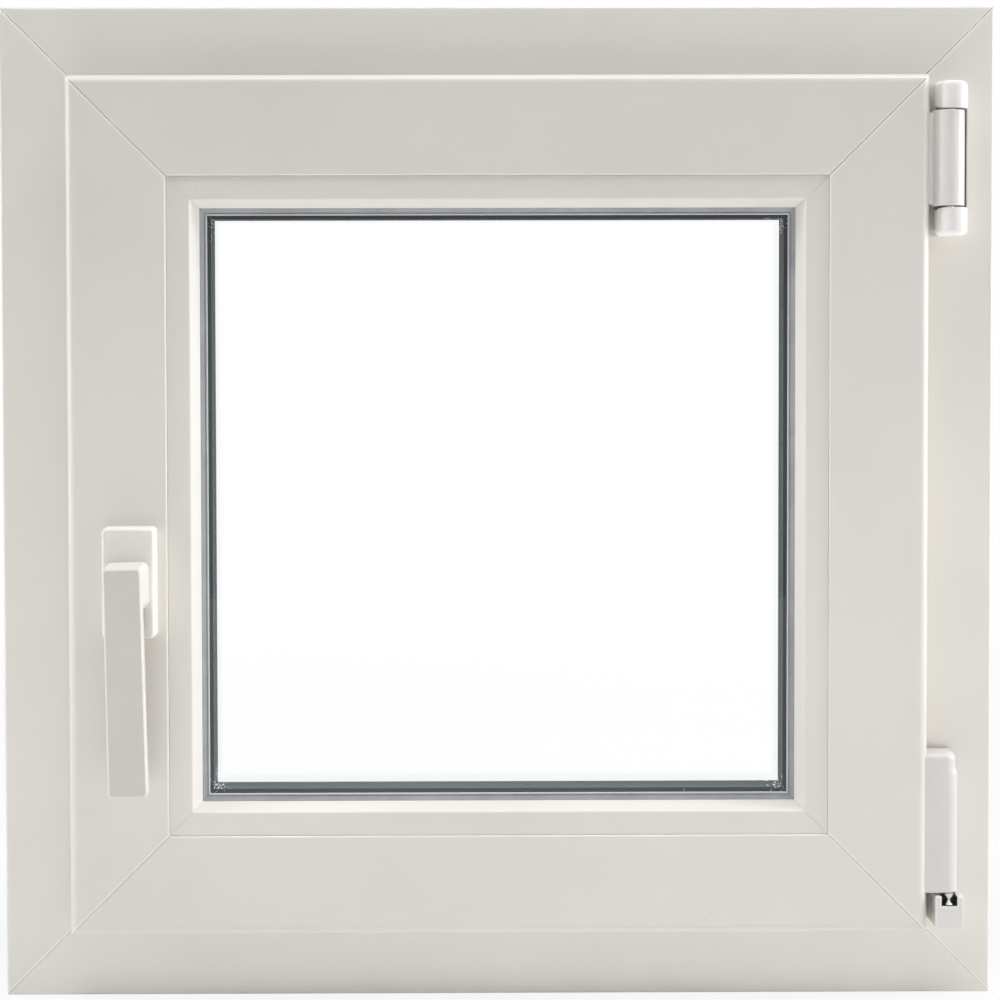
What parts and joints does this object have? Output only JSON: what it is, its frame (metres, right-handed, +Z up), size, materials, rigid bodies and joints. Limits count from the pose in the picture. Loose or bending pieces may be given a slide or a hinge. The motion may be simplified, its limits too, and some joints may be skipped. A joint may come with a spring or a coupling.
{
  "type": "tilt and turn window",
  "caption": "Square white plastic tilt and turn window, closed: mitred frame and sash, double glazing in snap-in beads, side hinges and a turning lever handle.",
  "frame": {"origin": "centre of the frame's bottom face, at mid width and mid depth", "axes": "seen from the room: +X right, +Y outdoors, +Z up"},
  "size_m": [0.6, 0.11, 0.6],
  "materials": {
    "profile": "satin extruded white plastic",
    "bead": "satin extruded white plastic",
    "gasket": "matt grey rubber",
    "glass": "clear float glass",
    "spacer": "dark grey ribbed spacer",
    "edge_seal": "black sealant",
    "hinge_metal": "white powder coat",
    "hinge_cap": "glossy moulded white plastic",
    "steel": "zinc plated",
    "handle": "white powder coat"
  },
  "bodies": {
    "window": {"bead_gasket_bottom": "gasket", "bead_gasket_left": "gasket", "bead_gasket_right": "gasket", "bead_gasket_top": "gasket", "bottom_hinge_cover": "hinge_cap", "bottom_hinge_frame_block": "hinge_metal", "bottom_hinge_pin": "steel", "bottom_hinge_sash_arm": "steel", "edge_seal": "edge_seal", "frame_head": "profile", "frame_jamb_handle_side": "profile", "frame_jamb_hinge_side": "profile", "frame_sill": "profile", "frame_stop_gasket": "gasket", "glazing_bead_bottom": "bead", "glazing_bead_left": "bead", "glazing_bead_right": "bead", "glazing_bead_top": "bead", "handle_rosette": "handle", "inner_pane": "glass", "outer_glazing_gasket": "gasket", "outer_pane": "glass", "sash_bottom_rail": "profile", "sash_flange_gasket": "gasket", "sash_stile_handle_side": "profile", "sash_stile_hinge_side": "profile", "sash_top_rail": "profile", "spacer_bar": "spacer", "top_hinge_barrel": "hinge_metal", "top_hinge_cap_lower": "hinge_cap", "top_hinge_cap_upper": "hinge_cap", "top_hinge_frame_bearing": "hinge_metal", "top_hinge_pin": "steel"},
    "handle": {"handle_lever": "handle", "handle_spindle": "steel"}
  },
  "joints": [
    {"name": "handle_turn", "type": "hinge", "parent": "window", "child": "handle", "pos_m": [-0.2185, -0.05, 0.2564], "axis": [0, -1, 0], "range_deg": [0, 180]}
  ]
}
